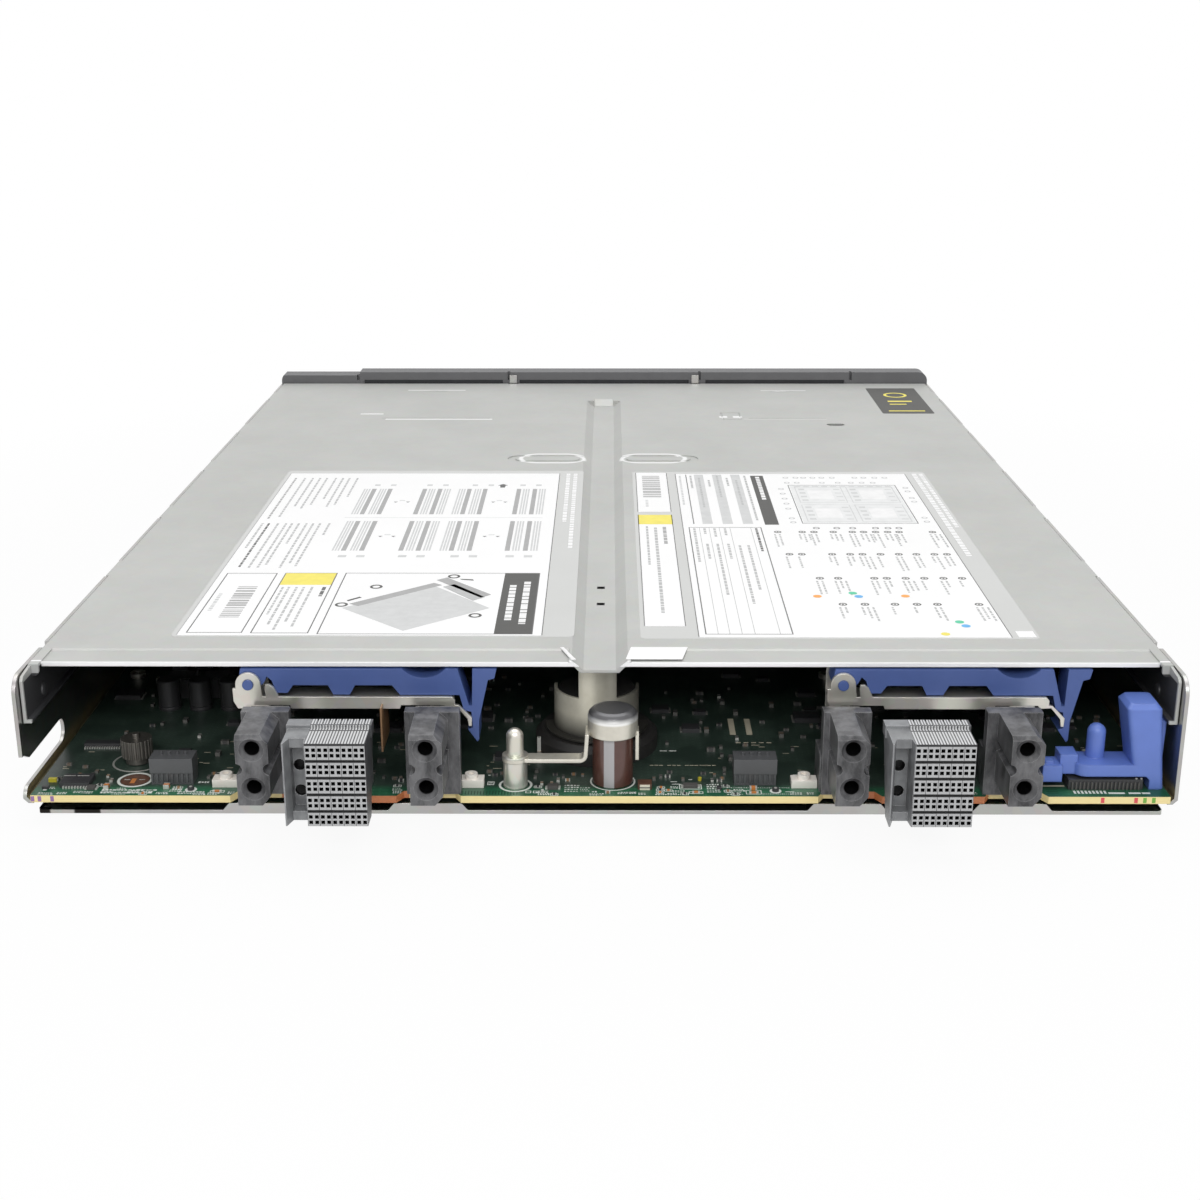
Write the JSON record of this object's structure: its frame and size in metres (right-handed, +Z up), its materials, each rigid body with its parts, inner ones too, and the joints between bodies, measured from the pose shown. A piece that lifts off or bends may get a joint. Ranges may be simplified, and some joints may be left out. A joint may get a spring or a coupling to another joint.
{
  "type": "blade server",
  "caption": "Flat sheet-metal blade server with lift-off access panel, open rear end with backplane connectors and latch levers, and a front bezel with drives.",
  "frame": {"origin": "bottom centre of the bounding box, lying flat as in the picture", "axes": "+X across the blade, +Y from the backplane connectors to the front bezel, +Z up from the base pan to the access panel"},
  "size_m": [0.366, 0.5174, 0.0554],
  "materials": {
    "zinc_steel": "satin zinc-plated sheet",
    "panel_steel": "satin zinc-plated sheet, light grey",
    "bright_steel": "bright plated",
    "bezel_plastic": "fine matte graphite",
    "lever_plastic": "fine matte dark grey",
    "button_plastic": "satin wine red",
    "light_plastic": "translucent satin",
    "tab_plastic": "satin light grey",
    "pcb_green": "solder-masked laminate",
    "socket_plastic": "matte black",
    "power_plastic": "matte dark grey, glass filled",
    "signal_metal": "cast light grey",
    "heat_aluminium": "extruded",
    "disk_metal": "cast",
    "latch_blue": "satin slate blue",
    "handle_blue": "satin bright blue",
    "can_brown": "shrink sleeve, brown",
    "ivory_plastic": "matte",
    "grille_metal": "matte dark grey"
  },
  "bodies": {
    "chassis": {"base_pan": "zinc_steel", "front_bulkhead": "zinc_steel", "front_bezel": "bezel_plastic", "bezel_screws": "bright_steel", "airflow_grille": "grille_metal", "release_pins": "bright_steel", "status_lenses": "light_plastic", "service_port": "bright_steel", "drive_cage": "zinc_steel", "drive_backplane": "pcb_green", "system_board": "pcb_green", "board_screws": "bright_steel", "cpu_sockets": "ivory_plastic", "heat_sink_1": "heat_aluminium", "heat_sink_2": "heat_aluminium", "heat_sink_3": "heat_aluminium", "heat_sink_4": "heat_aluminium", "memory_sockets": "socket_plastic", "memory_bank_left": "pcb_green", "memory_bank_right": "pcb_green", "mezzanine_card_left": "pcb_green", "mezzanine_card_right": "pcb_green", "mezzanine_connectors": "socket_plastic", "latch_bracket_left": "bright_steel", "latch_bracket_right": "bright_steel", "signal_connector_left": "signal_metal", "signal_connector_right": "signal_metal", "power_sockets_left": "power_plastic", "power_sockets_right": "power_plastic", "guide_post": "bright_steel", "capacitor": "can_brown", "capacitor_clip": "bright_steel", "centre_bracket": "zinc_steel", "filter_choke": "socket_plastic", "board_handle": "handle_blue", "board_headers": "socket_plastic", "mount_blocks": "bright_steel", "battery": "bright_steel", "regulator_chokes": "grille_metal", "bulk_capacitors": "disk_metal"},
    "panel": {"access_panel": "panel_steel", "panel_rivets": "bright_steel"},
    "latch_left": {"latch_lever_left": "latch_blue"},
    "latch_right": {"latch_lever_right": "latch_blue"},
    "lever_left": {"release_lever_left": "lever_plastic"},
    "lever_right": {"release_lever_right": "lever_plastic"},
    "lever_button_left": {"release_button_left": "button_plastic"},
    "lever_button_right": {"release_button_right": "button_plastic"},
    "power_button": {"power_button": "light_plastic"},
    "pull_tab": {"pull_tab": "tab_plastic"},
    "thumbscrew": {"thumbscrew": "grille_metal"},
    "carrier_left": {"drive_carrier_left": "lever_plastic", "hard_drive_left": "disk_metal"},
    "carrier_right": {"drive_carrier_right": "lever_plastic", "hard_drive_right": "disk_metal"},
    "handle_left": {"drive_handle_left": "bezel_plastic"},
    "handle_right": {"drive_handle_right": "bezel_plastic"},
    "carrier_button_left": {"drive_button_left": "button_plastic"},
    "carrier_button_right": {"drive_button_right": "button_plastic"}
  },
  "joints": [
    {"name": "panel_lift", "type": "slide", "parent": "chassis", "child": "panel", "axis": [0, 0, 1], "range_m": [0, 0.13]},
    {"name": "latch_left_swing", "type": "hinge", "parent": "chassis", "child": "latch_left", "pos_m": [-0.1122, -0.2113, 0.0419], "axis": [0, -1, 0], "range_deg": [0, 90]},
    {"name": "latch_right_swing", "type": "hinge", "parent": "chassis", "child": "latch_right", "pos_m": [0.0776, -0.2113, 0.0419], "axis": [0, -1, 0], "range_deg": [0, 90]},
    {"name": "lever_left_swing", "type": "hinge", "parent": "chassis", "child": "lever_left", "pos_m": [-0.177, 0.2473, 0.0277], "axis": [0, 0, 1], "range_deg": [0, 60]},
    {"name": "lever_button_left_press", "type": "slide", "parent": "lever_left", "child": "lever_button_left", "axis": [0, -1, 0], "range_m": [0, 0.0015], "stiffness_N_per_m": 400, "springref_m": -0.001},
    {"name": "lever_right_swing", "type": "hinge", "parent": "chassis", "child": "lever_right", "pos_m": [0.177, 0.2473, 0.0277], "axis": [0, 0, -1], "range_deg": [0, 60]},
    {"name": "lever_button_right_press", "type": "slide", "parent": "lever_right", "child": "lever_button_right", "axis": [0, -1, 0], "range_m": [0, 0.0015], "stiffness_N_per_m": 400, "springref_m": -0.001},
    {"name": "power_button_press", "type": "slide", "parent": "chassis", "child": "power_button", "axis": [0, -1, 0], "range_m": [0, 0.0015], "stiffness_N_per_m": 400, "springref_m": -0.001},
    {"name": "pull_tab_slide", "type": "slide", "parent": "chassis", "child": "pull_tab", "axis": [0, 1, 0], "range_m": [0, 0.045]},
    {"name": "thumbscrew_turn", "type": "hinge", "parent": "chassis", "child": "thumbscrew", "pos_m": [-0.1526, -0.2072, 0.017], "axis": [0, 0, 1], "continuous": true},
    {"name": "carrier_left_slide", "type": "slide", "parent": "chassis", "child": "carrier_left", "axis": [0, 1, 0], "range_m": [0, 0.12]},
    {"name": "handle_left_swing", "type": "hinge", "parent": "carrier_left", "child": "handle_left", "pos_m": [-0.0608, 0.2537, 0.0175], "axis": [0, 0, -1], "range_deg": [0, 60]},
    {"name": "carrier_button_left_press", "type": "slide", "parent": "carrier_left", "child": "carrier_button_left", "axis": [0, -1, 0], "range_m": [0, 0.0015], "stiffness_N_per_m": 400, "springref_m": -0.001},
    {"name": "carrier_right_slide", "type": "slide", "parent": "chassis", "child": "carrier_right", "axis": [0, 1, 0], "range_m": [0, 0.12]},
    {"name": "handle_right_swing", "type": "hinge", "parent": "carrier_right", "child": "handle_right", "pos_m": [0.1327, 0.2537, 0.0175], "axis": [0, 0, -1], "range_deg": [0, 60]},
    {"name": "carrier_button_right_press", "type": "slide", "parent": "carrier_right", "child": "carrier_button_right", "axis": [0, -1, 0], "range_m": [0, 0.0015], "stiffness_N_per_m": 400, "springref_m": -0.001}
  ],
  "couplings": [
    {"joint": "latch_left_swing", "follows": "panel_lift", "rad_per_m": 12.08},
    {"joint": "latch_right_swing", "follows": "panel_lift", "rad_per_m": 12.08}
  ]
}
